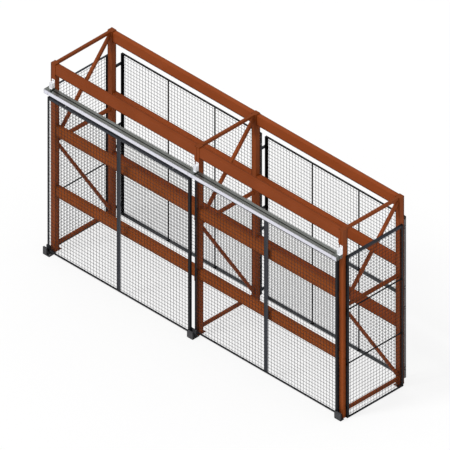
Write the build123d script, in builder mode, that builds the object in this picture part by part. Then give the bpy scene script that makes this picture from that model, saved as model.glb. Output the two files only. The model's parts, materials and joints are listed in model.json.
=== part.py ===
import os
from math import sqrt

from build123d import *

os.makedirs("parts", exist_ok=True)

# A pallet rack of two bays, closed with wire panels and two sliding doors. Millimetres.
# +X runs to the right along the doors, +Y from the doors to the back and +Z up.
# The origin is on the floor, in the middle of the whole footprint.

# Upright frames: square tube posts, with braces welded between them
frame_count = 3
frame_depth = 1066.8
post_side = 76.2
post_wall = 2.5
post_height = 2838.5
brace_side = 38.1
brace_wall = 2.5
low_strut_top = 111.8
middle_strut_top = 1673.9
base_plate_depth = 114.3
base_plate_thickness = 6.35
anchor_radius = 8.0

# Load beams: closed tubes with an angle connector on each end
bay_length = 2438.4  # from post to post
beam_height = 146.0
beam_depth = 63.5
beam_wall = 2.5
beam_levels = 3
top_beam_drop = 12.7  # from the posts' tops
beam_pitch = 914.4
connector_height = 203.2
connector_plate = 4.8
connector_lap = 35.0  # width of the leg on the post's front
connector_toe = 40.0  # width of the side leg at its lower end

# Wire panels: a mitred angle frame with welded wires inside it
panel_leg = 31.75
panel_plate = 3.2
wire = 3.4
wire_pitch = 50.8
wire_lap = 22.0  # how far a wire lies on the frame's leg
stiffener_width = 22.9
stiffener_plate = 4.8
stiffeners_per_panel = 2

# Rear and end panels
guard_height = 2438.4
rear_rows = 2
rear_standoff = 78.7
bracket_height = 50.8
bracket_plate = 3.2
bracket_leg = 100.0
bracket_inset = 152.4  # from a panel's top or bottom edge to the bracket's middle
bracket_clearance = 25.4  # from a bracket to a beam's connector
end_panel_width = 977.9
clip_height = 50.8
clip_plate = 3.2
clip_leg = 28.0
clips_per_side = 4

# Sliding doors: two panels each, bolted side by side
door_panel_lap = 25.4  # how much wider a door's panel is than half a bay
door_bottom = 58.4
door_drop = 40.7  # from the tracks' lower faces to the doors' tops
front_door_inset = 40.6  # from the row's left end to the closed door
door_gap = 25.4  # between the closed doors, along the row
front_door_stay = 19.2  # how much of a door's width is left out of its travel
rear_door_stay = 9.2

# Box tracks
track_width = 50.8
track_height = 57.15
track_wall = 2.5
track_slot = 16.0
track_gap = 6.35
track_drop = 139.75  # from the top connectors' lower ends to the tracks' tops
track_shift = 12.7  # to the left of the posts' outer faces
stop_length = 30.0
stop_height = 35.0
stop_clearance = 0.3

# Trolleys
trolley_inset = 304.8  # from the door's end
wheel_radius = 19.05
wheel_width = 12.7
wheel_gap = 18.4  # between the two wheels of a set
axle_radius = 5.0
axle_clearance = 0.08
rolling_gap = 0.3
block_length = 44.0
block_height = 25.4
block_clearance = 1.0  # between the block and a wheel
pendant_radius = 6.0
pendant_sides = 12  # a plain prism in place of the thread
pendant_hole = 13.5  # side of the square hole in the door's top rail
nut_across = 19.0
nut_height = 10.0
pendant_tail = 16.0  # below the lower nut

# Hangers on the posts' fronts, and the straps that tie the two tracks to them
hanger_width = 48.0
hanger_height = 121.0
hanger_plate = 4.8
hanger_offset = 9.0  # to the right of the post's middle
cheek_reach = 54.0  # from the post's front
cheek_height = 84.0
strap_width = 73.6
strap_plate = 3.2
strap_offset = 14.0  # to the left of the post's middle

# Floor guides, folded from plate
guide_height = 110.5
guide_length = 97.8
guide_plate = 4.8
guide_play = 4.45  # on each side of a door
guide_fin = 22.9
end_guide_length = 110.5
left_guide_overhang = 12.7
right_guide_inset = 20.3

# Places along the row
frame_pitch = bay_length + post_side
row_length = (frame_count - 1) * frame_pitch + post_side
row_left = -row_length / 2
post_places = [frame_pitch * (n - (frame_count - 1) / 2) for n in range(frame_count)]
bay_places = [frame_pitch * (n - (frame_count - 2) / 2) for n in range(frame_count - 1)]
beam_tops = [post_height - top_beam_drop - beam_pitch * (beam_levels - 1 - n) for n in range(beam_levels)]
side_names = ["left", "middle", "right"]
bay_names = ["left", "right"]
level_names = ["low", "middle", "top"]

# Places from front to back, measured before the posts' fronts
rear_track_reach = track_width / 2
front_track_reach = rear_track_reach + track_width + track_gap
slot_half = panel_leg / 2 + guide_play
front_reach = front_track_reach + slot_half + guide_fin
rear_reach = frame_depth + rear_standoff + panel_leg
post_front = (front_reach - rear_reach) / 2
post_back = post_front + frame_depth
front_track_y = post_front - front_track_reach
rear_track_y = post_front - rear_track_reach

# Places of the tracks, the doors and the trolleys
track_top = beam_tops[-1] - connector_height - track_drop
track_bottom = track_top - track_height
track_ends = (row_left - track_shift, -row_left - track_shift)
door_panel_width = bay_length / 2 + door_panel_lap
door_width = 2 * door_panel_width
front_door_travel = door_width - front_door_stay
rear_door_travel = door_width - rear_door_stay
door_top = track_bottom - door_drop
door_height = door_top - door_bottom
front_door_x = row_left + front_door_inset + door_width / 2
rear_door_x = front_door_x + door_width + door_gap
axle_z = track_bottom + track_wall + wheel_radius + rolling_gap


def turned(plane, angle):
    """The same plane, turned in itself."""
    return Plane(plane.location * Rotation(0, 0, angle))


def save(name, pieces):
    """Pieces that touch stay separate solids of one node."""
    node = Compound(label=name, children=list(pieces))
    export_step(node, f"parts/{name}.step")


# Posts, base plates, struts and diagonals


def post(name, x, y):
    inside = post_side - 2 * post_wall
    with BuildPart() as tube:
        with BuildSketch(Plane((x, y, base_plate_thickness))):
            Rectangle(post_side, post_side)
            Rectangle(inside, inside, mode=Mode.SUBTRACT)
        extrude(amount=post_height - base_plate_thickness)
    tube.part.label = name
    export_step(tube.part, f"parts/{name}.step")


def brace_outline(low, high, wall):
    """Four corners, from front to back, of a brace between two heights, thinned by a wall."""
    (y0, z0, rise0), (y1, z1, rise1) = low, high
    return [(y0, z0 + wall), (y1, z1 + wall), (y1, z1 + rise1 - wall), (y0, z0 + rise0 - wall)]


def brace(x, low, high, slope):
    """A channel section between the posts, with its back to the right."""
    with BuildPart() as bar:
        with BuildSketch(Plane.YZ.offset(x - brace_side / 2)):
            Polygon(*brace_outline(low, high, 0), align=None)
        extrude(amount=brace_side)
        with BuildSketch(Plane.YZ.offset(x - brace_side / 2)):
            Polygon(*brace_outline(low, high, brace_wall * slope), align=None)
        extrude(amount=brace_side - brace_wall, mode=Mode.SUBTRACT)
    return bar.part.solid()


def strut(x, top):
    ends = [(y, top - brace_side, brace_side) for y in (brace_front, brace_back)]
    return brace(x, ends[0], ends[1], 1)


def diagonal(x, lower, upper, rising):
    """A brace that fills the height between two struts, rising or falling towards the back."""
    run, height, side = brace_back - brace_front, upper - lower, brace_side
    inner = side**4 * height**2 + (run**2 - side**2) * side**2 * (run**2 + height**2)
    rise = (sqrt(inner) - side**2 * height) / (run**2 - side**2)
    ends = [(lower, rise), (upper - rise, rise)]
    front, back = ends if rising else reversed(ends)
    return brace(x, (brace_front, *front), (brace_back, *back), rise / side)


brace_front = post_front + post_side
brace_back = post_back - post_side
for side, x in zip(side_names, post_places):
    post(f"front_post_{side}", x, post_front + post_side / 2)
    post(f"rear_post_{side}", x, post_back - post_side / 2)
    save(f"frame_struts_{side}", [strut(x, z) for z in (low_strut_top, middle_strut_top, post_height)])
    lower_diagonal = diagonal(x, low_strut_top, middle_strut_top - brace_side, False)
    upper_diagonal = diagonal(x, middle_strut_top, post_height - brace_side, True)
    save(f"frame_diagonals_{side}", [lower_diagonal, upper_diagonal])

with BuildPart() as base_plates:
    for y, inward in ((post_front, 1), (post_back, -1)):
        for x in post_places:
            with Locations((x, y + inward * base_plate_depth / 2, base_plate_thickness / 2)):
                Box(post_side, base_plate_depth, base_plate_thickness)
            with Locations((x, y + inward * (post_side + base_plate_depth) / 2, base_plate_thickness / 2)):
                Hole(anchor_radius)
base_plates.part.label = "base_plates"
export_step(base_plates.part, "parts/base_plates.step")


# Load beams


def load_beam(name, x, y, top, inward):
    """A beam whose front is flush with the posts' outer faces, at y. Inward is +1 or -1."""
    length = bay_length - 2 * connector_plate
    with BuildPart() as tube:
        with BuildSketch(Plane.YZ.offset(x - length / 2)):
            with Locations((y + inward * beam_depth / 2, top - beam_height / 2)):
                Rectangle(beam_depth, beam_height)
                Rectangle(beam_depth - 2 * beam_wall, beam_height - 2 * beam_wall, mode=Mode.SUBTRACT)
        extrude(amount=length)
    pieces = [tube.part.solid()]
    for end in (-1, 1):
        low, foot = top - beam_height, top - connector_height
        face = x + end * bay_length / 2
        with BuildPart() as connector:
            with BuildSketch(Plane.YZ.offset(min(face, face - end * connector_plate))):
                Polygon(
                    (y - inward * connector_plate, top),
                    (y + inward * beam_depth, top),
                    (y + inward * beam_depth, low),
                    (y + inward * connector_toe, foot),
                    (y - inward * connector_plate, foot),
                    align=None,
                )
            extrude(amount=connector_plate)
            with Locations(
                (face + end * connector_lap / 2, y - inward * connector_plate / 2, (top + foot) / 2)
            ):
                Box(connector_lap, connector_plate, connector_height)
        pieces.append(connector.part.solid())
    save(name, pieces)


for bay, x in zip(bay_names, bay_places):
    for level, beam_top in zip(level_names, beam_tops):
        load_beam(f"front_beam_{bay}_{level}", x, post_front, beam_top, 1)
        load_beam(f"rear_beam_{bay}_{level}", x, post_back, beam_top, -1)


# Wire panels. A panel's plane has its origin in the middle of the panel's outer face.


def facing(x, y, z, normal):
    """A plane that stands upright, with +Y up and its depth running along the normal."""
    return Plane(origin=(x, y, z), x_dir=Vector(0, 0, 1).cross(Vector(*normal)), z_dir=normal)


def angle_frame(plane, width, height, hole_at=None):
    """Four mitred angle bars. The leg lies on the outer face and the other leg goes inwards."""
    bars = []
    for turn in (0, 90, 180, 270):
        level = turn % 180 == 0
        length, reach = (width, height / 2) if level else (height, width / 2)
        side = turned(plane, turn)
        with BuildPart() as bar:
            for wide, deep in ((panel_leg, panel_plate), (panel_plate, panel_leg)):
                with BuildSketch(side):
                    Polygon(
                        (-length / 2, -reach),
                        (length / 2, -reach),
                        (length / 2 - wide, wide - reach),
                        (wide - length / 2, wide - reach),
                        align=None,
                    )
                extrude(amount=deep)
            if turn == 180 and hole_at is not None:
                top_rail = Plane(side.from_local_coords((-hole_at, -reach, panel_leg / 2)), z_dir=side.y_dir)
                with BuildSketch(top_rail):
                    Rectangle(pendant_hole, pendant_hole)
                extrude(amount=panel_plate, mode=Mode.SUBTRACT)
        bars.append(bar.part.solid())
    return bars


def stiffener_bars(plane, length, spread, turn):
    """Flat bars between two of the frame's sides, behind the wires."""
    with BuildPart() as bars:
        with BuildSketch(turned(plane.offset(panel_plate + 2 * wire), turn)):
            with GridLocations(spread / (stiffeners_per_panel + 1), 0, stiffeners_per_panel, 1):
                Rectangle(stiffener_width, length - 2 * panel_plate)
        extrude(amount=stiffener_plate)
    return bars.part.solids()


def welded_mesh(name, plane, width, height):
    """Upright wires on the frame's leg, and level wires on the upright ones."""
    wires = []
    for layer, turn, run, across in ((0, 0, height, width), (1, 90, width, height)):
        count = int((across - 2 * panel_leg) / wire_pitch)
        with BuildPart() as row:
            with BuildSketch(turned(plane.offset(panel_plate + layer * wire), turn)):
                with GridLocations(wire_pitch, 0, count, 1):
                    Rectangle(wire, run - 2 * panel_leg + 2 * wire_lap)
            extrude(amount=wire)
        wires += row.part.solids()
    save(name, wires)


# Rear panels, stacked behind each bay
rear_panel_height = guard_height / rear_rows
rear_face = post_back + rear_standoff + panel_leg
row_names = ["lower", "upper"]
for bay, x in zip(bay_names, bay_places):
    for row in range(rear_rows):
        plane = facing(x, rear_face, (2 * row + 1) * rear_panel_height / 2, (0, -1, 0))
        stiffeners = stiffener_bars(plane, rear_panel_height, bay_length, 0)
        frame = angle_frame(plane, bay_length, rear_panel_height)
        save(f"rear_frame_{bay}_{row_names[row]}", frame + stiffeners)
        welded_mesh(f"rear_mesh_{bay}_{row_names[row]}", plane, bay_length, rear_panel_height)

# End panels, on the outer faces of the end posts
end_panel_y = (post_front + post_back) / 2
for side, x, inward in (("left", row_left, 1), ("right", -row_left, -1)):
    plane = facing(x - inward * panel_leg, end_panel_y, guard_height / 2, (inward, 0, 0))
    stiffeners = stiffener_bars(plane, end_panel_width, guard_height, 90)
    save(f"end_frame_{side}", angle_frame(plane, end_panel_width, guard_height) + stiffeners)
    welded_mesh(f"end_mesh_{side}", plane, end_panel_width, guard_height)

# Stand-off brackets between the rear posts and the rear panels


def beside_connectors(z):
    """The height of a bracket's middle, moved below a beam's connector where it would lie on it."""
    reach = bracket_height / 2 + bracket_clearance
    for beam_top in beam_tops:
        foot = beam_top - connector_height
        if foot - reach < z < beam_top + reach:
            return foot - reach
    return z


bracket_heights = [
    beside_connectors(row * rear_panel_height + z)
    for row in range(rear_rows)
    for z in (bracket_inset, rear_panel_height - bracket_inset)
]
with BuildPart() as rear_brackets:
    for z in bracket_heights:
        with BuildSketch(Plane.XY.offset(z - bracket_height / 2)):
            for x in post_places:
                with Locations((x, post_back + bracket_plate / 2)):
                    Rectangle(post_side, bracket_plate)
                for end in (-1, 1):
                    if abs(x + end * frame_pitch / 2) < row_length / 2:
                        leg_x = x + end * (post_side - bracket_plate) / 2
                        with Locations((leg_x, post_back + bracket_leg / 2)):
                            Rectangle(bracket_plate, bracket_leg)
        extrude(amount=bracket_height)
rear_brackets.part.label = "rear_panel_brackets"
export_step(rear_brackets.part, "parts/rear_panel_brackets.step")

# Clips that hold the end panels' sides on the posts, from the lowest bracket's height to the highest's
clip_pitch = (bracket_heights[-1] - bracket_heights[0]) / (clips_per_side - 1)
with BuildPart() as end_clips:
    for n in range(clips_per_side):
        with BuildSketch(Plane.XY.offset(bracket_heights[0] + n * clip_pitch - clip_height / 2)):
            for outward in (-1, 1):
                for forward in (-1, 1):
                    edge_x = outward * row_length / 2
                    edge_y = end_panel_y + forward * end_panel_width / 2
                    with Locations((edge_x + outward * clip_leg / 2, edge_y + forward * clip_plate / 2)):
                        Rectangle(clip_leg, clip_plate)
                    with Locations((edge_x + outward * clip_plate / 2, edge_y + forward * clip_leg / 2)):
                        Rectangle(clip_plate, clip_leg)
        extrude(amount=clip_height)
end_clips.part.label = "end_panel_clips"
export_step(end_clips.part, "parts/end_panel_clips.step")


# Tracks, their stops, straps and hangers


def box_track(name, y):
    """A square tube, open below along a slot."""
    with BuildPart() as track:
        with BuildSketch(Plane.YZ.offset(track_ends[0])):
            with Locations((y, track_bottom + track_height / 2)):
                Rectangle(track_width, track_height)
                Rectangle(track_width - 2 * track_wall, track_height - 2 * track_wall, mode=Mode.SUBTRACT)
            with Locations((y, track_bottom)):
                Rectangle(track_slot, 2 * track_wall, mode=Mode.SUBTRACT)
        extrude(amount=track_ends[1] - track_ends[0])
    track.part.label = name
    export_step(track.part, f"parts/{name}.step")


box_track("front_track", front_track_y)
box_track("rear_track", rear_track_y)

trolley_reach = door_width / 2 - trolley_inset
stop_reach = trolley_reach + max(wheel_radius, block_length / 2) + stop_clearance
front_stops = (front_door_x - stop_reach, front_door_x + front_door_travel + stop_reach)
rear_stops = (rear_door_x - rear_door_travel - stop_reach, rear_door_x + stop_reach)
with BuildPart() as track_stops:
    for y, (left, right) in ((front_track_y, front_stops), (rear_track_y, rear_stops)):
        for x in (left - stop_length / 2, right + stop_length / 2):
            with Locations((x, y, track_bottom + track_wall + stop_height / 2)):
                Box(stop_length, track_width - 2 * track_wall, stop_height)
track_stops.part.label = "track_stops"
export_step(track_stops.part, "parts/track_stops.step")

strap_front = front_track_reach + track_width / 2 + strap_plate
strap_leg = front_track_reach - track_width / 2
with BuildPart() as track_straps:
    for x in post_places:
        with BuildSketch(Plane.YZ.offset(x - strap_offset - strap_width / 2)):
            with Locations((post_front - strap_front / 2, track_top + strap_plate / 2)):
                Rectangle(strap_front, strap_plate)
            for reach in (strap_front, strap_leg):
                with Locations((post_front - reach + strap_plate / 2, track_top - track_height / 2)):
                    Rectangle(strap_plate, track_height)
    extrude(amount=strap_width)
track_straps.part.label = "track_straps"
export_step(track_straps.part, "parts/track_straps.step")

hanger_foot = track_top + strap_plate
with BuildPart() as track_hangers:
    for x in post_places:
        middle = x + hanger_offset
        with Locations((middle, post_front - hanger_plate / 2, hanger_foot + hanger_height / 2)):
            Box(hanger_width, hanger_plate, hanger_height)
        with Locations((middle, post_front - cheek_reach / 2, hanger_foot + cheek_height / 2)):
            Box(hanger_width, cheek_reach, cheek_height)
        with Locations((middle, post_front - (cheek_reach + hanger_plate) / 2, hanger_foot + cheek_height)):
            hollow = cheek_reach - hanger_plate
            gap = hanger_width - 2 * hanger_plate
            Box(gap, hollow, 2 * (cheek_height - hanger_plate), mode=Mode.SUBTRACT)
track_hangers.part.label = "track_hangers"
export_step(track_hangers.part, "parts/track_hangers.step")

# Floor guides: a base plate with one folded fin on each side of a door
front_fin = (front_reach, front_track_reach + slot_half)
middle_fin = (front_track_reach - slot_half, rear_track_reach + slot_half)
right_fin = (rear_track_reach + slot_half + guide_fin, rear_track_reach + slot_half)
left_guide_x = row_left - left_guide_overhang + end_guide_length / 2
right_guide_x = -row_left + right_guide_inset - end_guide_length / 2


def floor_guide(x, length, fins):
    reach = max(fin[0] for fin in fins)
    with BuildPart() as guide:
        with BuildSketch(Plane.YZ.offset(x - length / 2)):
            with Locations((post_front - reach / 2, guide_plate / 2)):
                Rectangle(reach, guide_plate)
            for front, back in fins:
                fin_y = post_front - (front + back) / 2
                with Locations((fin_y, guide_height / 2)):
                    Rectangle(front - back, guide_height)
                with Locations((fin_y, (guide_height - guide_plate) / 2)):
                    hollow = front - back - 2 * guide_plate
                    Rectangle(hollow, guide_height - guide_plate, mode=Mode.SUBTRACT)
        extrude(amount=length)
    return guide.part.solid()


left_guide = floor_guide(left_guide_x, end_guide_length, (front_fin, middle_fin))
middle_guide = floor_guide(0, guide_length, (front_fin, middle_fin))
right_guide = floor_guide(right_guide_x, end_guide_length, (right_fin,))
save("floor_guides", [left_guide, middle_guide, right_guide])


# Doors, trolleys and wheelsets


def trolley(x, y):
    """A bored block above the track's slot, with the pendant bolt and its two nuts."""
    rail = door_top - panel_plate
    block_bottom = axle_z - block_height / 2
    bolt_bottom = rail - nut_height - pendant_tail
    with BuildPart() as body:
        with Locations((x, y, axle_z)):
            Box(block_length, wheel_gap - 2 * block_clearance, block_height)
        with BuildSketch(Plane((x, y, bolt_bottom))):
            RegularPolygon(pendant_radius, pendant_sides)
        extrude(amount=block_bottom - bolt_bottom)
        for nut_bottom in (rail - nut_height, door_top):
            with BuildSketch(Plane((x, y, nut_bottom))):
                RegularPolygon(nut_across / 2, 6, major_radius=False)
            extrude(amount=nut_height)
        with BuildSketch(Plane.XZ.offset(-y - wheel_gap / 2)):
            with Locations((x, axle_z)):
                Circle(axle_radius + axle_clearance)
        extrude(amount=wheel_gap, mode=Mode.SUBTRACT)
    return body.part.solid()


def wheelset(name, x, y):
    """Two wheels and the axle that turns with them, revolved about the axle."""
    inner, outer = wheel_gap / 2, wheel_gap / 2 + wheel_width
    profile = Plane(origin=(x, y, axle_z), x_dir=(0, 1, 0), z_dir=(1, 0, 0))
    with BuildPart() as wheels:
        with BuildSketch(profile):
            with Locations((0, axle_radius / 2)):
                Rectangle(2 * outer, axle_radius)
            for middle in (-(inner + outer) / 2, (inner + outer) / 2):
                with Locations((middle, wheel_radius / 2)):
                    Rectangle(wheel_width, wheel_radius)
        revolve(axis=Axis((x, y, axle_z), (0, 1, 0)))
    wheels.part.label = name
    export_step(wheels.part, f"parts/{name}.step")


for door, middle, y in (("front", front_door_x, front_track_y), ("rear", rear_door_x, rear_track_y)):
    for half, end in (("left", -1), ("right", 1)):
        x = middle + end * door_panel_width / 2
        plane = facing(x, y - panel_leg / 2, door_bottom + door_height / 2, (0, 1, 0))
        trolley_x = middle + end * trolley_reach
        # the plane's X runs to the left, seen from the front
        frame = angle_frame(plane, door_panel_width, door_height, hole_at=x - trolley_x)
        save(f"{door}_door_frame_{half}", frame)
        welded_mesh(f"{door}_door_mesh_{half}", plane, door_panel_width, door_height)
        wheelset(f"{door}_door_wheels_{half}", trolley_x, y)
    trolleys = [trolley(middle + end * trolley_reach, y) for end in (-1, 1)]
    save(f"{door}_door_trolleys", trolleys)
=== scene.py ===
import bpy
import bmesh
import json
import math
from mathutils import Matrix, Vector


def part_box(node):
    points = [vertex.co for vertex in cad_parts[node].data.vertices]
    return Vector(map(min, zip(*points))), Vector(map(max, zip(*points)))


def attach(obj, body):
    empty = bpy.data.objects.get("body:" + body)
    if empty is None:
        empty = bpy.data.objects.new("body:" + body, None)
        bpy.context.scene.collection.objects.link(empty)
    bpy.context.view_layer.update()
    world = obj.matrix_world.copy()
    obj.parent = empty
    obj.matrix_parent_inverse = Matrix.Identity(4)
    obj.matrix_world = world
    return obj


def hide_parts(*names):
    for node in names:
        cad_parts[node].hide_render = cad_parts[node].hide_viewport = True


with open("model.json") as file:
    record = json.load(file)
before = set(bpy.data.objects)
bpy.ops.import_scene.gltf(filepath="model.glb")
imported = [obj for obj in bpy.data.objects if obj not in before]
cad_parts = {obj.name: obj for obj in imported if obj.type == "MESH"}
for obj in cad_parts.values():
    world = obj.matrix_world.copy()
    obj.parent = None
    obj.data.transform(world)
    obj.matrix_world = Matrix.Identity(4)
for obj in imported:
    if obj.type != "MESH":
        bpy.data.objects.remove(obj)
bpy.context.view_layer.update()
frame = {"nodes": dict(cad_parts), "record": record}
mm = 0.001
sides = ("left", "middle", "right")
bays = ("left", "right")
levels = ("low", "middle", "top")
doors = ("front", "rear")
print("frame loaded,", len(frame["nodes"]), "nodes")


# Places read from the fixed frame

postBoxes = [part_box("front_post_" + side) for side in sides]
postX = [(low.x + high.x) / 2 for low, high in postBoxes]
postLow, postHigh = postBoxes[0]
postSide = postHigh.x - postLow.x
postFront, postBack, postTop = postLow.y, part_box("rear_post_left")[1].y, postHigh.z
trackLow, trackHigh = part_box("front_track")
rearTrackLow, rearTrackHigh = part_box("rear_track")
trackY = {"front": (trackLow.y + trackHigh.y) / 2, "rear": (rearTrackLow.y + rearTrackHigh.y) / 2}
beamTops = [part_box("front_beam_left_" + level)[1].z for level in levels]
endPanelLow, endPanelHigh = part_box("end_frame_left")
guideLow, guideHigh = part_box("floor_guides")
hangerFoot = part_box("track_hangers")[0].z
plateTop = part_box("base_plates")[1].z


# Small helpers, each a step that would be done by hand

def nothingSelected():
    if bpy.context.mode != "OBJECT":
        bpy.ops.object.mode_set(mode="OBJECT")
    bpy.ops.object.select_all(action="DESELECT")


def selectOnly(pieces):
    nothingSelected()
    for piece in pieces:
        piece.select_set(True)
    bpy.context.view_layer.objects.active = pieces[0]


def settle(piece):  # its place goes into its mesh
    selectOnly([piece])
    bpy.ops.object.transform_apply(location=True, rotation=True, scale=True)


def applyModifiers(piece):
    selectOnly([piece])
    for modifier in list(piece.modifiers):
        bpy.ops.object.modifier_apply(modifier=modifier.name)


def block(size, middle):
    nothingSelected()
    bpy.ops.mesh.primitive_cube_add(size=1, location=middle)
    made = bpy.context.active_object
    made.scale = size
    settle(made)
    return made


def rod(radius, length, middle, steps, axis="Z"):
    nothingSelected()
    turn = {"X": (0, math.pi / 2, 0), "Y": (math.pi / 2, 0, 0), "Z": (0, 0, 0)}[axis]
    bpy.ops.mesh.primitive_cylinder_add(
        vertices=steps, radius=radius, depth=length, location=middle, rotation=turn)
    made = bpy.context.active_object
    settle(made)
    return made


def pick(piece, kind, wanted):  # leaves the piece in edit mode, with those faces or edges selected
    selectOnly([piece])
    bpy.ops.object.mode_set(mode="EDIT")
    bpy.ops.mesh.select_mode(type=kind)
    bpy.ops.mesh.select_all(action="DESELECT")
    shape = bmesh.from_edit_mesh(piece.data)
    for part in shape.faces if kind == "FACE" else shape.edges:
        part.select_set(wanted(part))
    bmesh.update_edit_mesh(piece.data)


def towards(face, axis, *signs):  # whether a face looks along an axis, by default either way
    along = face.normal["XYZ".index(axis)]
    return any(along * sign > 0.9 for sign in signs or (-1, 1))


def roundEdges(piece, width, steps=2):
    bevel = piece.modifiers.new("edges", "BEVEL")
    bevel.width = width
    bevel.segments = steps
    bevel.limit_method = "ANGLE"
    applyModifiers(piece)


def smooth(piece, angle=35):
    selectOnly([piece])
    bpy.ops.object.shade_smooth_by_angle(angle=math.radians(angle))


def inRow(piece, count, axis, step):  # copies along an axis, in the same mesh
    row = piece.modifiers.new("row", "ARRAY")
    row.count = count
    row.use_relative_offset = False
    row.use_constant_offset = True
    row.constant_offset_displace = [step if name == axis else 0 for name in "XYZ"]
    applyModifiers(piece)


def joined(pieces, name):
    selectOnly(pieces)
    if len(pieces) > 1:
        bpy.ops.object.join()
    made = bpy.context.active_object
    made.name = name
    made.data.name = name
    return made


def repeated(master, places, name):  # copies of a finished shape, each moved to its place
    made = []
    for place in places:
        twin = master.copy()
        twin.data = master.data.copy()
        bpy.context.scene.collection.objects.link(twin)
        twin.location = place
        made.append(twin)
    bpy.data.objects.remove(master)
    piece = joined(made, name)
    settle(piece)
    return piece


def turnedOutward(piece, outward):  # its top looks outward
    piece.rotation_euler = Vector(outward).to_track_quat("Z", "Y").to_euler()
    settle(piece)
    return piece


def fitted(piece, body, material):
    piece.data.materials.clear()
    piece.data.materials.append(material)
    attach(piece, body)
    return piece


# Shader maths written as expressions

class Value:
    def __init__(self, shade, socket):
        self.shade = shade
        self.socket = socket

    def maths(self, operation, *values):
        return self.shade.node("ShaderNodeMath", {"operation": operation}, dict(enumerate(values)))

    def __add__(self, other):
        return self.maths("ADD", self, other)

    def __radd__(self, other):
        return self.maths("ADD", other, self)

    def __sub__(self, other):
        return self.maths("SUBTRACT", self, other)

    def __rsub__(self, other):
        return self.maths("SUBTRACT", other, self)

    def __mul__(self, other):
        return self.maths("MULTIPLY", self, other)

    def __rmul__(self, other):
        return self.maths("MULTIPLY", other, self)

    def limited(self):  # kept between 0 and 1
        return self.shade.node("ShaderNodeClamp", {}, {0: self})

    def size(self):  # without its sign
        return self.maths("ABSOLUTE", self)

    def ramp(self, low, high):  # 0 below low and 1 above high
        return ((self - low) * (1 / (high - low))).limited()


class Shade:
    def __init__(self, name):
        self.material = bpy.data.materials.new(name)
        self.material.use_nodes = True
        self.tree = self.material.node_tree
        self.tree.nodes.clear()
        self.place = self.node("ShaderNodeTexCoord", {}, {}, "Object")

    def node(self, kind, settings, sockets, out=0):
        made = self.tree.nodes.new(kind)
        for name, value in settings.items():
            setattr(made, name, value)
        for name, value in sockets.items():
            if isinstance(value, Value):
                self.tree.links.new(value.socket, made.inputs[name])
            else:
                made.inputs[name].default_value = value
        return Value(self, made.outputs[out])

    def noise(self, scale, detail=2):
        return self.node("ShaderNodeTexNoise", {}, {"Vector": self.place, "Scale": scale, "Detail": detail})

    def mix(self, share, first, second):
        return self.node("ShaderNodeMix", {"data_type": "RGBA"}, {0: share, 6: first, 7: second}, 2)

    def dot(self, first, second):
        return self.node("ShaderNodeVectorMath", {"operation": "DOT_PRODUCT"}, {0: first, 1: second}, "Value")

    def edges(self, radius, plainSide=None, contrast=36, least=0.2):  # 1 on edges and corners, 0 on flats
        rounded = self.node("ShaderNodeBevel", {"samples": 6}, {"Radius": radius})
        flat = self.node("ShaderNodeNewGeometry", {}, {}, "Normal")
        mask = ((1 - self.dot(rounded, flat)) * contrast - least).limited()
        if plainSide is None:
            return mask
        plain = self.dot(rounded, plainSide).ramp(0.5, 0.56)  # corners that look to the plain side stay 0
        return mask * (1 - plain)

    def facing(self, axis, sign=1):  # 1 where the surface looks along an axis
        normal = self.node("ShaderNodeNewGeometry", {}, {}, "Normal")
        return (self.node("ShaderNodeSeparateXYZ", {}, {0: normal}, axis) * sign).ramp(0.6, 0.9)

    def along(self, axis):
        return self.node("ShaderNodeSeparateXYZ", {}, {0: self.place}, axis)

    def lines(self, axis, places, width):  # 1 beside each place along an axis
        near = [1 - (self.along(axis) - place).size().ramp(width * 0.6, width) for place in places]
        return sum(near[1:], near[0]).limited()

    def bump(self, height, distance):
        return self.node("ShaderNodeBump", {}, {"Height": height, "Distance": distance})

    def finish(self, sockets):
        return self.shown(self.node("ShaderNodeBsdfPrincipled", {}, sockets))

    def shown(self, surface):
        output = self.tree.nodes.new("ShaderNodeOutputMaterial")
        self.tree.links.new(surface.socket, output.inputs["Surface"])
        return self.material


def colour(red, green, blue):  # from 0 to 255, as seen on a screen
    def linear(value):
        value /= 255
        return value / 12.92 if value <= 0.04045 else ((value + 0.055) / 1.055) ** 2.4
    return (linear(red), linear(green), linear(blue), 1)


# Dark edges on the beams and posts, as lines at places along the axes

edgeLine = {"width": 14 * mm, "postGap": 8 * mm, "farShare": 0.5}
beam = {"height": 146 * mm, "depth": 63.5 * mm}


def beamEdges(shade):  # the lower edges, and on top the edges away from the doors
    low = shade.lines("Z", [top - beam["height"] for top in beamTops], edgeLine["width"])
    for x in postX:
        low = low * (shade.along("X") - x).size().ramp(postSide / 2, postSide / 2 + edgeLine["postGap"])
    far = shade.lines("Y", [postFront + beam["depth"], postBack], edgeLine["width"]) * shade.facing("Z")
    return (low + far * edgeLine["farShare"]).limited()


def postEdges(shade):  # the left and far edges
    left = shade.lines("X", [x - postSide / 2 for x in postX], edgeLine["width"]) * shade.facing("Y", -1)
    far = shade.lines("Y", [postFront + postSide, postBack], edgeLine["width"]) * shade.facing("X")
    return (left + far).limited()


# Dark edges on the panels; members that stand alone are dark over their whole width

plainSide = (0.577, -0.577, 0.577)
panelMember = {"leg": 31.75 * mm, "dark": 26 * mm, "stiffenerStep": 406.4 * mm, "soft": 20 * mm}


def panelEdges(soft=1, singles=None, share=0.65):
    def edges(shade):
        mask = shade.edges(panelMember["soft"], plainSide) * soft
        for axis, places in (singles or {}).items():
            mask = mask + shade.lines(axis, places, panelMember["dark"]) * share
        return mask.limited()
    return edges


def doorSingles(door):  # the outer stiles and the bottom rail
    low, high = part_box(door + "_door_frame_left")[0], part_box(door + "_door_frame_right")[1]
    half = panelMember["leg"] / 2
    return {"X": [low.x + half, high.x - half], "Z": [low.z + half]}


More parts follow.
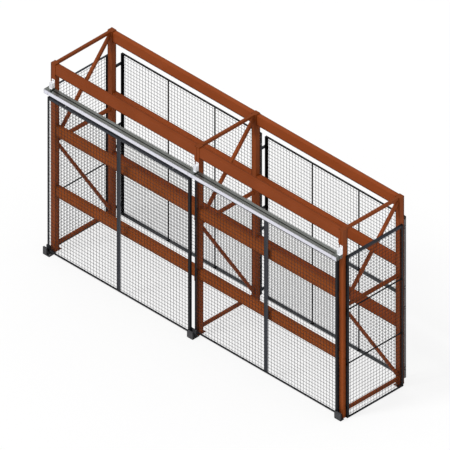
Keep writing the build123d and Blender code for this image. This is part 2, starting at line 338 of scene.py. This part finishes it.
def endSingles():  # the stiles, the bottom rail and the stiffeners
    half, step = panelMember["leg"] / 2, panelMember["stiffenerStep"]
    middle = (endPanelLow.z + endPanelHigh.z) / 2
    return {
        "Y": [endPanelLow.y + half, endPanelHigh.y - half],
        "Z": [endPanelLow.z + half, middle - step, middle + step]}


def rearSingles():  # all but the lower rails and the right bay's right stile
    half, step = panelMember["leg"] / 2, panelMember["stiffenerStep"]
    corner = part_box("rear_frame_left_upper")[1]
    places = {"X": [corner.x - half], "Z": [corner.z - half]}
    for bay in bays:
        low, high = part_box(f"rear_frame_{bay}_upper")
        middle = (low.x + high.x) / 2
        places["X"] += [low.x + half, middle - step, middle + step]
    return places


# Other edges, and the clips' dark legs

fineEdge = {"hanger": 7 * mm, "guide": 26 * mm}
clipDark = {"plate": 4 * mm, "soft": 1 * mm}


def hangerEdges(shade):
    return shade.edges(fineEdge["hanger"], plainSide)


def guideEdges(shade):
    return shade.edges(fineEdge["guide"], plainSide)


def clipEdges(shade):  # dark where a clip lies on its end panel
    start, end = endPanelLow.y - clipDark["plate"], endPanelHigh.y + clipDark["plate"]
    place = shade.along("Y")
    return place.ramp(start - clipDark["soft"], start) * (1 - place.ramp(end, end + clipDark["soft"]))


# Painted finishes

def powderCoat(name, look):
    shade = Shade(name)
    drift = shade.noise(look["driftScale"], 3)
    grain = shade.noise(look["grainScale"])
    base = shade.mix(drift.ramp(*look["driftRange"]), look["colour"], look["drifted"])
    foot = 1 - shade.along("Z").ramp(0, look["footHeight"])
    dirt = foot * shade.noise(look["dirtScale"], 4).ramp(*look["dirtRange"])
    base = shade.mix(dirt * look["footShare"], base, look["dirt"])
    if "above" in look:  # darker above the tracks
        above = shade.along("Z").ramp(trackHigh.z, trackHigh.z + look["aboveBlend"])
        base = shade.mix(above, base, look["above"])
    base = shade.mix(look["edges"](shade) * look["edgeShare"], base, look["edgeColour"])
    return shade.finish({
        "Base Color": base, "Roughness": look["roughness"] + (drift - 0.5) * look["roughnessDrift"],
        "Normal": shade.bump(grain, look["grainDepth"]), "Specular IOR Level": look["gloss"]})


rackLook = {
    "colour": colour(129, 61, 25), "drifted": colour(122, 57, 22), "driftScale": 2.2,
    "driftRange": (0.35, 0.65), "grainScale": 420, "grainDepth": 0.2 * mm,
    "roughness": 0.5, "roughnessDrift": 0.2, "gloss": 0.06,
    "dirt": colour(84, 46, 24), "dirtScale": 14, "dirtRange": (0.4, 0.7),
    "footHeight": 250 * mm, "footShare": 0.3,
    "edges": beamEdges, "edgeShare": 0.85, "edgeColour": colour(48, 18, 4),
}
# the rear beams carry the same paint, painted lighter to make up for the shade they stand in
rearBeamLightenedLook = dict(rackLook, colour=colour(142, 68, 29), drifted=colour(136, 64, 26))
# the lower front beams carry the same paint, painted lighter to make up for the shade they stand in
lowBeamLightenedLook = dict(rackLook, colour=colour(144, 73, 28), drifted=colour(137, 69, 25))
postLook = dict(
    rackLook, colour=colour(137, 68, 30), drifted=colour(130, 64, 28), edges=postEdges,
    above=colour(120, 58, 24), aboveBlend=60 * mm)
clipLook = dict(postLook, edges=clipEdges, edgeShare=1, edgeColour=colour(14, 14, 16))
hangerLook = dict(
    rackLook, colour=colour(252, 253, 255), drifted=colour(248, 249, 253), footShare=0,
    edges=hangerEdges, edgeShare=0.3, edgeColour=colour(120, 118, 108))
panelLook = dict(
    rackLook, colour=colour(54, 56, 62), drifted=colour(48, 50, 56), dirt=colour(60, 58, 56),
    edges=panelEdges(), edgeShare=1, edgeColour=colour(2, 2, 3), roughness=0.46, gloss=0.1)
wireLook = dict(panelLook, colour=colour(34, 34, 38), drifted=colour(29, 29, 33), edgeShare=0)
guideLook = dict(panelLook, colour=colour(72, 71, 74), drifted=colour(64, 64, 67), edges=guideEdges)


def frameLook(singles):
    return dict(panelLook, edges=panelEdges(0.8, singles))


frameLooks = {
    "front_door_frame": frameLook(doorSingles("front")),
    "rear_door_frame": frameLook(doorSingles("rear")),
    "end_frame": frameLook(endSingles()),
    "rear_frame": dict(  # painted paler to make up for the shade it always stands in
        panelLook, colour=colour(100, 102, 104), drifted=colour(94, 96, 98),
        edges=panelEdges(0, rearSingles(), 1)),
}


# Galvanised finishes

def galvanised(name, look):
    shade = Shade(name)
    cells = shade.node(
        "ShaderNodeTexVoronoi", {}, {"Vector": shade.place, "Scale": look["spangleScale"]}, "Color")
    spangle = shade.node("ShaderNodeSeparateColor", {}, {0: cells}, 0)
    drift = shade.noise(look["driftScale"], 4)
    up = shade.facing("Z")
    # painted shade: faces that look up are painted darker, a little unevenly
    shadedTop = up * ((1 - look["shadedTopDrift"]) + look["shadedTopDrift"] * drift)
    base = shade.mix(spangle, look["colour"], look["spangled"])
    base = shade.mix(shadedTop, base, look["shadedTop"])
    edge = shade.edges(look["edgeRadius"], look["plainSide"])
    base = shade.mix(edge * look["edgeShare"], base, look["edgeColour"])
    if "seam" in look:  # painted shade in the gap where two pieces lie side by side
        base = shade.mix(shade.lines("Y", [look["seam"]], look["seamWidth"]), base, look["gapShade"])
    uneven = spangle * look["spangleRoughness"] + drift * look["driftRoughness"]
    return shade.finish({
        "Base Color": base, "Roughness": look["roughness"] + uneven - up * look["topShine"],
        "Metallic": look["metallic"] + up * (look["topMetallic"] - look["metallic"]),
        "Normal": shade.bump(spangle, look["spangleDepth"])})


# each finish's colour for faces that look up is painted shade
zincLook = {
    "colour": colour(218, 218, 228), "spangled": colour(206, 206, 216), "spangleScale": 90,
    "spangleDepth": 0.1 * mm, "shadedTop": colour(104, 108, 98), "driftScale": 6, "shadedTopDrift": 0.3,
    "edgeRadius": 14 * mm, "edgeShare": 0.75, "edgeColour": colour(74, 74, 64), "plainSide": plainSide,
    "roughness": 0.4, "spangleRoughness": 0.1, "driftRoughness": 0.08, "topShine": 0.2,
    "metallic": 0.3, "topMetallic": 0.75,
}
# the tracks carry painted shade along the gap between them
trackLook = dict(
    zincLook, seam=(trackHigh.y + rearTrackLow.y) / 2, seamWidth=12 * mm, gapShade=colour(40, 44, 38))
strapLook = dict(zincLook, shadedTop=colour(96, 102, 92), edgeColour=colour(60, 60, 62), edgeShare=0.8)
fastenerLook = dict(
    zincLook, colour=colour(176, 176, 174), spangled=colour(160, 160, 160), shadedTop=colour(150, 150, 146),
    spangleScale=260, edgeRadius=1.5 * mm, plainSide=None, roughness=0.34, metallic=0.8, topMetallic=0.8,
    topShine=0)
boltLook = dict(
    fastenerLook, colour=colour(46, 52, 44), spangled=colour(38, 42, 36), shadedTop=colour(50, 54, 46),
    edgeColour=colour(18, 20, 16), metallic=0.3, topMetallic=0.3)
plugLook = dict(boltLook, colour=colour(88, 92, 88), spangled=colour(80, 84, 80), shadedTop=colour(84, 88, 84))
wheelLook = dict(fastenerLook, colour=colour(158, 158, 162), spangled=colour(144, 144, 150), roughness=0.28)


# Every solid that stays gets its finish

painted = {
    "frame_paint": postLook, "beam_paint": rackLook, "panel_paint": panelLook, "wire_paint": wireLook,
    "hanger_paint": hangerLook, "guide_steel": guideLook,
}
zincked = {
    "zinc_sheet": trackLook, "strap_steel": strapLook, "trolley_steel": fastenerLook,
    "wheel_steel": wheelLook, "bolt_steel": boltLook, "plug_steel": plugLook,
}
finishes = {name: powderCoat(name, look) for name, look in painted.items()}
finishes.update((name, galvanised(name, look)) for name, look in zincked.items())

# Finishes that differ from their slot's, by words in the nodes' names
# the lower front beams get a coat painted lighter, to make up for their shade
lowBeamLightenedPaint = powderCoat("low_beam_lightened_paint", lowBeamLightenedLook)
aside = {f"front_beam_{bay}_{level}": lowBeamLightenedPaint for bay in bays for level in levels[:2]}
# the rear beams get a coat painted lighter, to make up for their shade
aside["rear_beam"] = powderCoat("rear_beam_lightened_paint", rearBeamLightenedLook)
aside["end_panel_clips"] = powderCoat("clip_paint", clipLook)
for word, look in frameLooks.items():
    aside[word] = powderCoat(word + "_paint", look)

slotOf = {part["node"]: part["material_slot"] for part in frame["record"]["subparts"]}
for name, node in frame["nodes"].items():
    node.data.materials.clear()
    node.data.materials.append(next((aside[word] for word in aside if word in name), finishes[slotOf[name]]))
print("finishes made")


# Rolled edges on the parts that keep their shape

rolled = {"beam": 1.5 * mm, "frame": 0.7 * mm, "track": 1.2 * mm, "other": 0.8 * mm}
rolling = {"steps": 2, "angle": 40, "merge": 0.001 * mm}

for name, node in frame["nodes"].items():
    if "mesh" in name or "wheels" in name or "trolleys" in name:
        continue
    weld = node.modifiers.new("seams closed", "WELD")
    weld.merge_threshold = rolling["merge"]
    bevel = node.modifiers.new("rolled edges", "BEVEL")
    bevel.width = next((rolled[word] for word in rolled if word in name.split("_")), rolled["other"])
    bevel.segments = rolling["steps"]
    bevel.limit_method = "ANGLE"
    bevel.angle_limit = math.radians(rolling["angle"])


# Welded mesh: round wires in place of the plain ones

wires = {"radius": 2.2 * mm, "pitch": 50.8 * mm, "sides": 8}


def weldedMesh(node, body):
    low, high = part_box(node)
    size, center = high - low, (low + high) / 2
    deep = 0 if size.x < size.y else 1  # the axis through the panel
    along = 1 - deep
    outer = 1 if "rear_mesh" in node or node == "end_mesh_right" else -1  # the side of the upright wires
    made = []
    for run, across, layer in ((2, along, outer), (along, 2, -outer)):
        count = int(round((size[across] - 2 * wires["radius"]) / wires["pitch"] - 0.5))
        middle = list(center)
        middle[deep] += layer * size[deep] / 4
        middle[across] -= (count - 1) / 2 * wires["pitch"]
        wire = rod(wires["radius"], size[run], middle, wires["sides"], "XYZ"[run])
        inRow(wire, count, "XYZ"[across], wires["pitch"])
        made.append(wire)
    piece = joined(made, node.replace("mesh", "wires"))
    smooth(piece, 60)
    fitted(piece, body, finishes["wire_paint"])
    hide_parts(node)


bodyOf = {node: body for body, members in frame["record"]["behaviour"]["bodies"].items() for node in members}
for node in sorted(frame["nodes"]):
    if "mesh" in node:
        weldedMesh(node, bodyOf[node])
print("welded mesh made")


# Caps in the tops of the posts

postCap = {
    "side": 70.8 * mm, "thickness": 4 * mm, "sunk": 1.2 * mm, "dish": 0.8 * mm, "rim": 5 * mm,
    "edge": 0.4 * mm,
}


def makePostCaps():
    thick = postCap["thickness"]
    cap = block((postCap["side"], postCap["side"], thick), (0, 0, -thick / 2))
    pick(cap, "FACE", lambda face: towards(face, "Z", 1))
    bpy.ops.mesh.inset(thickness=postCap["rim"])
    bpy.ops.transform.translate(value=(0, 0, -postCap["dish"]))
    roundEdges(cap, postCap["edge"])
    height = postTop - postCap["sunk"]
    places = [(x, y, height) for x in postX for y in (postFront + postSide / 2, postBack - postSide / 2)]
    caps = repeated(cap, places, "post_caps")
    fitted(caps, "rack", finishes["frame_paint"])


makePostCaps()


# Plugs in the ends of the tracks

trackPlug = {
    "wall": 2.5 * mm, "play": 0.1 * mm, "thickness": 3 * mm, "sunk": 0.6 * mm, "rim": 6 * mm,
    "dish": 1.2 * mm, "edge": 0.4 * mm,
}


def makeTrackPlugs():
    around = 2 * (trackPlug["wall"] + trackPlug["play"])
    size = (trackPlug["thickness"], trackHigh.y - trackLow.y - around, trackHigh.z - trackLow.z - around)
    plug = block(size, (0, 0, 0))
    for side in (-1, 1):
        pick(plug, "FACE", lambda face: towards(face, "X", side))
        bpy.ops.mesh.inset(thickness=trackPlug["rim"])
        bpy.ops.transform.translate(value=(-side * trackPlug["dish"], 0, 0))
    roundEdges(plug, trackPlug["edge"])
    middle = (trackLow.z + trackHigh.z) / 2
    inset = trackPlug["sunk"] + trackPlug["thickness"] / 2
    ends = (trackLow.x + inset, trackHigh.x - inset)
    places = [(x, trackY[door], middle) for x in ends for door in doors]
    fitted(repeated(plug, places, "track_plugs"), "rack", finishes["plug_steel"])


makeTrackPlugs()


# Weld beads where the struts and diagonals meet the posts

weldBead = {
    "radius": 3 * mm, "step": 2.6 * mm, "around": 8, "rings": 5, "strutSide": 38.1 * mm,
    "lowStrutTop": 111.8 * mm, "middleStrutTop": 1673.9 * mm, "lowerRise": 71.5 * mm, "upperRise": 58.6 * mm,
}


def makeBead(length, axis):  # overlapping drops along a seam
    nothingSelected()
    bpy.ops.mesh.primitive_uv_sphere_add(
        segments=weldBead["around"], ring_count=weldBead["rings"], radius=weldBead["radius"],
        location=(0, 0, 0))
    drop = bpy.context.active_object
    inRow(drop, int(length / weldBead["step"]), axis, weldBead["step"])
    return drop


def makeWelds():
    side, half = weldBead["strutSide"], weldBead["strutSide"] / 2
    low, middle = weldBead["lowStrutTop"], weldBead["middleStrutTop"]
    lowerRise, upperRise = weldBead["lowerRise"], weldBead["upperRise"]
    front, rear = postFront + postSide, postBack - postSide
    upright = [(y, top - side) for y in (front, rear) for top in (low, middle, postTop)]
    level = [(y, top - drop) for y in (front, rear) for top in (low, middle) for drop in (0, side)]
    lower = [(front, middle - side - lowerRise), (rear, low)]  # where the lower diagonal ends
    upper = [(front, middle), (rear, postTop - side - upperRise)]
    inset = weldBead["radius"] / 2
    parts = []
    for length, seams in ((side, upright), (lowerRise, lower), (upperRise, upper)):
        places = [(x + turn * half, y, z + inset) for x in postX for turn in (-1, 1) for y, z in seams]
        parts.append(repeated(makeBead(length, "Z"), places, "beads"))
    places = [(x - half + inset, y, z) for x in postX for y, z in level]
    parts.append(repeated(makeBead(side, "X"), places, "beads"))
    piece = joined(parts, "brace_welds")
    smooth(piece, 60)
    fitted(piece, "rack", finishes["frame_paint"])


makeWelds()
print("caps, plugs and welds made")


# Bolts and anchors: a washer, a six-sided head and for anchors the stud's end

bolt = {
    "across": 15 * mm, "head": 6 * mm, "chamfer": 0.9 * mm, "chamferWide": 1.6,
    "washer": 13 * mm, "washerThickness": 1.6 * mm, "washerEdge": 0.3 * mm, "washerSides": 20,
}
smallBolt = dict(
    bolt, across=10 * mm, head=4 * mm, washer=9 * mm, washerThickness=1.2 * mm, chamfer=0.6 * mm)
darkBolt = dict(bolt, across=21 * mm, head=9 * mm, washer=17 * mm, washerThickness=2 * mm)
anchor = dict(
    bolt, across=17 * mm, head=8 * mm, washer=15 * mm, stud=5 * mm, tail=9 * mm, studEdge=0.8 * mm,
    studSides=16)
guideAnchor = dict(anchor, across=14 * mm, head=6 * mm, washer=12 * mm, tail=6 * mm, stud=4 * mm)


def hexHead(size, outward):  # stands on the origin
    foot = size["washerThickness"]
    washer = rod(size["washer"], foot, (0, 0, foot / 2), size["washerSides"])
    roundEdges(washer, size["washerEdge"], 1)
    head = rod(size["across"] / math.sqrt(3), size["head"], (0, 0, foot + size["head"] / 2), 6)
    pick(head, "FACE", lambda face: towards(face, "Z", 1))
    bpy.ops.mesh.inset(thickness=size["chamfer"] * size["chamferWide"])
    bpy.ops.transform.translate(value=(0, 0, size["chamfer"]))
    parts = [washer, head]
    if "stud" in size:
        middle = foot + size["head"] + size["tail"] / 2
        stud = rod(size["stud"], size["tail"], (0, 0, middle), size["studSides"])
        roundEdges(stud, size["studEdge"], 1)
        parts.append(stud)
    return turnedOutward(joined(parts, "bolt"), outward)


def boltRow(size, outward, places, name, body="rack", slot="trolley_steel", material=None):
    piece = repeated(hexHead(size, outward), places, name)
    return fitted(piece, body, finishes[material or slot])


def sideName(side):
    return "right" if side > 0 else "left"


# Rivets: flat heads where the beams' connectors lie on the posts

rivet = {
    "radius": 7 * mm, "height": 4.4 * mm, "round": 1.6 * mm, "sides": 20, "inset": 17.5 * mm,
    "shares": (0.15, 0.5, 0.85),
}


def makeRivets():
    head = rod(rivet["radius"], rivet["height"], (0, 0, 0), rivet["sides"])
    roundEdges(head, rivet["round"], 3)
    head = turnedOutward(head, (0, 1, 0))
    places = []
    for bay in bays:
        for row in ("front", "rear"):
            for level in levels:
                low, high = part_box(f"{row}_beam_{bay}_{level}")
                face = low.y if row == "front" else high.y
                for x in (low.x + rivet["inset"], high.x - rivet["inset"]):
                    places += [(x, face, low.z + (high.z - low.z) * share) for share in rivet["shares"]]
    fitted(repeated(head, places, "connector_rivets"), "rack", finishes["beam_paint"])


makeRivets()


# Bolts of the rear panels' brackets

bracket = {
    "plate": 3.2 * mm, "leg": 100 * mm, "lap": 21.3 * mm, "boltSide": 17 * mm,
    "heights": (152.4 * mm, 1066.8 * mm, 1371.6 * mm, 2286 * mm),
}
plateY, legY = postBack + bracket["plate"], postBack + bracket["leg"] - bracket["lap"] / 2
platePlaces = [
    (x + side * bracket["boltSide"], plateY, z)
    for x in postX for side in (-1, 1) for z in bracket["heights"]]
boltRow(smallBolt, (0, 1, 0), platePlaces, "bracket_bolts")
for side in (-1, 1):
    beside = postX[:2] if side > 0 else postX[1:]
    legPlaces = [
        (x + side * (postSide / 2 - bracket["plate"]), legY, z) for x in beside for z in bracket["heights"]]
    boltRow(smallBolt, (-side, 0, 0), legPlaces, "bracket_leg_bolts_" + sideName(side))


# Bolts of the end panels' clips

clip = {"plate": 3.2 * mm, "boltInset": 16 * mm, "heights": (152.4 * mm, 863.6 * mm, 1574.8 * mm, 2286 * mm)}
clipX = postX[-1] + postSide / 2 + clip["plate"]
clipY = (endPanelLow.y - clip["boltInset"], endPanelHigh.y + clip["boltInset"])
for side in (-1, 1):
    clipPlaces = [(side * clipX, y, z) for y in clipY for z in clip["heights"]]
    boltRow(smallBolt, (side, 0, 0), clipPlaces, "clip_bolts_" + sideName(side), slot="frame_paint")


# Bolts of the hangers and straps, and the floor anchors

hangerBolt = {"side": 9 * mm, "plate": 4.8 * mm, "rise": 102 * mm, "reach": 24 * mm}
strapBolt = {"rear": 41 * mm, "front": 45 * mm, "back": 2 * mm}
anchorReach = 95.25 * mm

hangerX = [x + hangerBolt["side"] for x in postX]
backPlaces = [(x, postFront - hangerBolt["plate"], hangerFoot + hangerBolt["rise"]) for x in hangerX]
footPlaces = [(x, postFront - hangerBolt["reach"], hangerFoot + hangerBolt["plate"]) for x in hangerX]
boltRow(smallBolt, (0, -1, 0), backPlaces, "hanger_bolts")
boltRow(smallBolt, (0, 0, 1), footPlaces, "hanger_foot_bolts")
strapPlaces = [(x + strapBolt["rear"], trackY["rear"], trackHigh.z) for x in postX[:2]]
strapPlaces += [(x + strapBolt["front"], trackY["front"] + strapBolt["back"], trackHigh.z) for x in postX[:2]]
boltRow(darkBolt, (0, 0, 1), strapPlaces, "strap_bolts", slot="strap_steel", material="bolt_steel")
anchorPlaces = [(x, y, plateTop) for x in postX for y in (postFront + anchorReach, postBack - anchorReach)]
boltRow(anchor, (0, 0, 1), anchorPlaces, "floor_anchors")


# Floor guides folded from sheet

guide = {
    "plate": 4.8 * mm, "fin": 22.9 * mm, "fold": 6 * mm, "foldSteps": 5, "corner": 5 * mm, "cornerSteps": 4,
    "edge": 0.5 * mm, "length": 110.5 * mm, "middleLength": 97.8 * mm, "shortFin": 61 * mm, "play": 4.45 * mm,
    "leg": 31.75 * mm, "anchorSide": 28 * mm,
}
guideX = (guideLow.x + guide["length"] / 2, 0, guideHigh.x - guide["length"] / 2)


def guideFin(length, middle):  # folded over at the top, with open ends
    def upperEdge(edge):
        first, last = (vert.co for vert in edge.verts)
        return abs(first.x - last.x) > length / 2 and first.z > middle[2]

    fin = block((length, guide["fin"], guideHigh.z - guide["plate"]), middle)
    pick(fin, "EDGE", upperEdge)
    bpy.ops.mesh.bevel(offset=guide["fold"], segments=guide["foldSteps"])
    pick(fin, "FACE", lambda face: towards(face, "X") or towards(face, "Z", -1))
    bpy.ops.mesh.delete(type="FACE")
    wall = fin.modifiers.new("wall", "SOLIDIFY")
    wall.thickness = guide["plate"]
    wall.offset = -1
    applyModifiers(fin)
    return fin


def guideBase(length, middle, depth):  # a plate with rounded corners
    base = block((length, depth, guide["plate"]), (middle[0], middle[1], guide["plate"] / 2))
    pick(base, "EDGE", lambda edge: abs(edge.verts[0].co.z - edge.verts[1].co.z) > guide["plate"] / 2)
    bpy.ops.mesh.bevel(offset=guide["corner"], segments=guide["cornerSteps"])
    roundEdges(base, guide["edge"], 1)
    return base


def makeGuides():
    height = (guide["plate"] + guideHigh.z) / 2
    front = trackY["front"] - guide["leg"] / 2 - guide["play"] - guide["fin"] / 2
    center = (trackY["front"] + trackY["rear"]) / 2
    length, middleLength = guide["length"], guide["middleLength"]
    rows = (
        (guideX[0], length, guide["shortFin"], (front, center)),
        (guideX[1], middleLength, middleLength, (front, center)),
        (guideX[2], length, length, (center,)))
    parts = []
    for x, baseLength, finLength, fins in rows:
        low = min(fins) - guide["fin"] / 2
        parts.append(guideBase(baseLength, (x, (low + guideHigh.y) / 2), guideHigh.y - low))
        for y in fins:
            parts.append(guideFin(finLength, (x - (baseLength - finLength) / 2, y, height)))
    piece = joined(parts, "folded_guides")
    smooth(piece)
    fitted(piece, "rack", finishes["guide_steel"])
    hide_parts("floor_guides")


makeGuides()
guidePlaces = [
    (x + side * guide["anchorSide"], trackY[door], guide["plate"])
    for x in guideX for door in doors for side in (-1, 1)
    if x < guideX[2] or door == "rear"]
boltRow(guideAnchor, (0, 0, 1), guidePlaces, "guide_anchors")


# Bolts where two panels lie side by side

seamBolt = {
    "plate": 3.2 * mm, "leg": 31.75 * mm, "doorShares": (0.05, 0.275, 0.5, 0.725, 0.95),
    "rearShares": (0.08, 0.36, 0.64, 0.92),
}
for door in doors:
    low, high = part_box(door + "_door_frame_left")
    for side in (-1, 1):
        x = high.x + side * seamBolt["plate"]
        places = [(x, trackY[door], low.z + (high.z - low.z) * share) for share in seamBolt["doorShares"]]
        name = door + "_door_seam_bolts_" + sideName(side)
        boltRow(smallBolt, (side, 0, 0), places, name, door + "_door", "panel_paint")

for bay in bays:
    low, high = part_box("rear_frame_" + bay + "_lower")
    y = high.y - seamBolt["leg"] / 2
    for side in (-1, 1):
        z = high.z + side * seamBolt["plate"]
        places = [(low.x + (high.x - low.x) * share, y, z) for share in seamBolt["rearShares"]]
        name = "rear_seam_bolts_" + bay + ("_above" if side > 0 else "_below")
        boltRow(smallBolt, (0, 0, side), places, name, slot="panel_paint")
print("bolts, anchors, rivets and guides made")


# Trolleys inside the tracks

trolley = {
    "length": 44 * mm, "width": 16.4 * mm, "height": 25.4 * mm, "edge": 1.5 * mm, "bore": 5.3 * mm,
    "boreSides": 32, "bolt": 6 * mm, "core": 5.1 * mm, "boltSides": 24, "pitch": 1.75 * mm, "ridge": 0.7,
    "ridgeEdge": 0.5 * mm, "lap": 1 * mm, "nut": 19 * mm, "nutHeight": 8.4 * mm, "nutRim": 1.6 * mm,
    "nutEdge": 0.5 * mm, "washer": 12 * mm, "washerThickness": 1.6 * mm, "washerEdge": 0.3 * mm,
    "washerSides": 28, "railPlate": 3.2 * mm, "tail": 16 * mm,
}


def trolleyBlock():
    made = block((trolley["length"], trolley["width"], trolley["height"]), (0, 0, 0))
    roundEdges(made, trolley["edge"])
    bore = rod(trolley["bore"], 2 * trolley["width"], (0, 0, 0), trolley["boreSides"], "Y")
    cut = made.modifiers.new("bore", "BOOLEAN")
    cut.operation = "DIFFERENCE"
    cut.object = bore
    applyModifiers(made)
    bpy.data.objects.remove(bore)
    return made


def pendantBolt(low, high):  # a core with one ridge for each turn of its thread
    pitch, sidesAround = trolley["pitch"], trolley["boltSides"]
    core = rod(trolley["core"], high - low, (0, 0, (low + high) / 2), sidesAround)
    ridge = rod(trolley["bolt"], pitch * trolley["ridge"], (0, 0, low + pitch / 2), sidesAround)
    roundEdges(ridge, trolley["ridgeEdge"], 1)
    inRow(ridge, int((high - low) / pitch), "Z", pitch)
    return [core, ridge]


def pendantNut(low, up):  # up is 1 where the nut stands on the rail and -1 where it hangs below it
    thick, high = trolley["washerThickness"], trolley["nutHeight"]
    washer = rod(trolley["washer"], thick, (0, 0, low + up * thick / 2), trolley["washerSides"])
    roundEdges(washer, trolley["washerEdge"], 1)
    nut = rod(trolley["nut"] / math.sqrt(3), high, (0, 0, low + up * (thick + high / 2)), 6)
    pick(nut, "FACE", lambda face: towards(face, "Z"))
    bpy.ops.mesh.inset(thickness=trolley["nutRim"])
    roundEdges(nut, trolley["nutEdge"], 1)
    return [washer, nut]


def makeTrolleys(door):
    boxes = [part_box(f"{door}_door_wheels_{half}") for half in ("left", "right")]
    axle = (boxes[0][0].z + boxes[0][1].z) / 2
    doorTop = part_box(f"{door}_door_frame_left")[1].z - axle
    railLow = doorTop - trolley["railPlate"]
    boltLow = railLow - trolley["nutHeight"] - trolley["washerThickness"] - trolley["tail"]
    parts = pendantBolt(boltLow, trolley["lap"] - trolley["height"] / 2)
    parts += [trolleyBlock()] + pendantNut(doorTop, 1) + pendantNut(railLow, -1)
    places = [((low.x + high.x) / 2, trackY[door], axle) for low, high in boxes]
    piece = repeated(joined(parts, "trolley"), places, door + "_trolley_bodies")
    smooth(piece)
    fitted(piece, door + "_door", finishes["trolley_steel"])
    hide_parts(door + "_door_trolleys")


# Wheels: two dished discs on an axle

wheel = {
    "radius": 19.05 * mm, "width": 12.7 * mm, "gap": 18.4 * mm, "axle": 5 * mm, "axleEdge": 0.6 * mm,
    "tread": 1.4 * mm, "rim": 3.5 * mm, "dish": 1.6 * mm, "hub": 7 * mm, "hubRise": 0.7, "steps": 40,
    "axleSteps": 28, "sideArea": 1e-4,
}


def makeWheels(node):
    low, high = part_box(node)
    reach = wheel["gap"] / 2 + wheel["width"]
    parts = []
    for side in (-1, 1):
        middle = (0, side * (reach - wheel["width"] / 2), 0)
        disc = rod(wheel["radius"], wheel["width"], middle, wheel["steps"], "Y")
        roundEdges(disc, wheel["tread"], 3)
        pick(disc, "FACE", lambda face: towards(face, "Y") and face.calc_area() > wheel["sideArea"])
        bpy.ops.mesh.inset(thickness=wheel["rim"])
        bpy.ops.transform.shrink_fatten(value=-wheel["dish"])
        bpy.ops.mesh.inset(thickness=wheel["radius"] - wheel["tread"] - wheel["rim"] - wheel["hub"])
        bpy.ops.transform.shrink_fatten(value=wheel["dish"] * wheel["hubRise"])
        parts.append(disc)
    pin = rod(wheel["axle"], 2 * reach, (0, 0, 0), wheel["axleSteps"], "Y")
    roundEdges(pin, wheel["axleEdge"])
    piece = repeated(joined(parts + [pin], "wheel"), [(low + high) / 2], node.replace("wheels", "rollers"))
    smooth(piece)
    fitted(piece, bodyOf[node], finishes["wheel_steel"])
    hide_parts(node)


for door in doors:
    makeTrolleys(door)
    for half in ("left", "right"):
        makeWheels(f"{door}_door_wheels_{half}")
print("trolleys and wheels made")


# Floor, light and camera

ground = {"size": 60, "below": 0.5 * mm, "shade": 0.93, "whiteShare": 0.8}
light = {"sky": 0.78, "sun": 1.45, "sunSoftness": 14, "sunFrom": Vector((-0.45, -1.0, 1.25))}
view = {
    "lookAt": Vector((0.014, -0.0495, 1.4224)), "azimuth": 45, "elevation": 35.264,
    "distance": 14, "width": 5.557, "clipEnd": 100,
}
white = (1, 1, 1, 1)

nothingSelected()
bpy.ops.mesh.primitive_plane_add(size=ground["size"], location=(0, 0, -ground["below"]))
floor = bpy.context.active_object
floor.name = "floor"
shade = Shade("floor")
plain = shade.node("ShaderNodeBsdfDiffuse", {}, {"Color": (ground["shade"],) * 3 + (1,)})
glow = shade.node("ShaderNodeEmission", {}, {"Color": white, "Strength": 1})
seen = shade.node("ShaderNodeLightPath", {}, {}, "Is Camera Ray") * ground["whiteShare"]
floor.data.materials.append(shade.shown(shade.node("ShaderNodeMixShader", {}, {0: seen, 1: plain, 2: glow})))

world = bpy.data.worlds.new("studio")
bpy.context.scene.world = world
world.use_nodes = True
sky = world.node_tree.nodes["Background"]
sky.inputs["Color"].default_value = white
sky.inputs["Strength"].default_value = light["sky"]

bpy.ops.object.light_add(type="SUN", location=(0, 0, 6))
sun = bpy.context.active_object
sun.data.energy = light["sun"]
sun.data.angle = math.radians(light["sunSoftness"])
sun.rotation_euler = light["sunFrom"].to_track_quat("Z", "Y").to_euler()

azimuth, elevation = math.radians(view["azimuth"]), math.radians(view["elevation"])
spread = math.cos(elevation)
towardsCamera = Vector((math.sin(azimuth) * spread, -math.cos(azimuth) * spread, math.sin(elevation)))
bpy.ops.object.camera_add(location=view["lookAt"] + towardsCamera * view["distance"])
camera = bpy.context.active_object
camera.rotation_euler = (-towardsCamera).to_track_quat("-Z", "Y").to_euler()
camera.data.type = "ORTHO"
camera.data.ortho_scale = view["width"]
camera.data.clip_end = view["clipEnd"]
bpy.context.scene.camera = camera
bpy.context.scene.view_settings.view_transform = "Standard"
print("stage set")
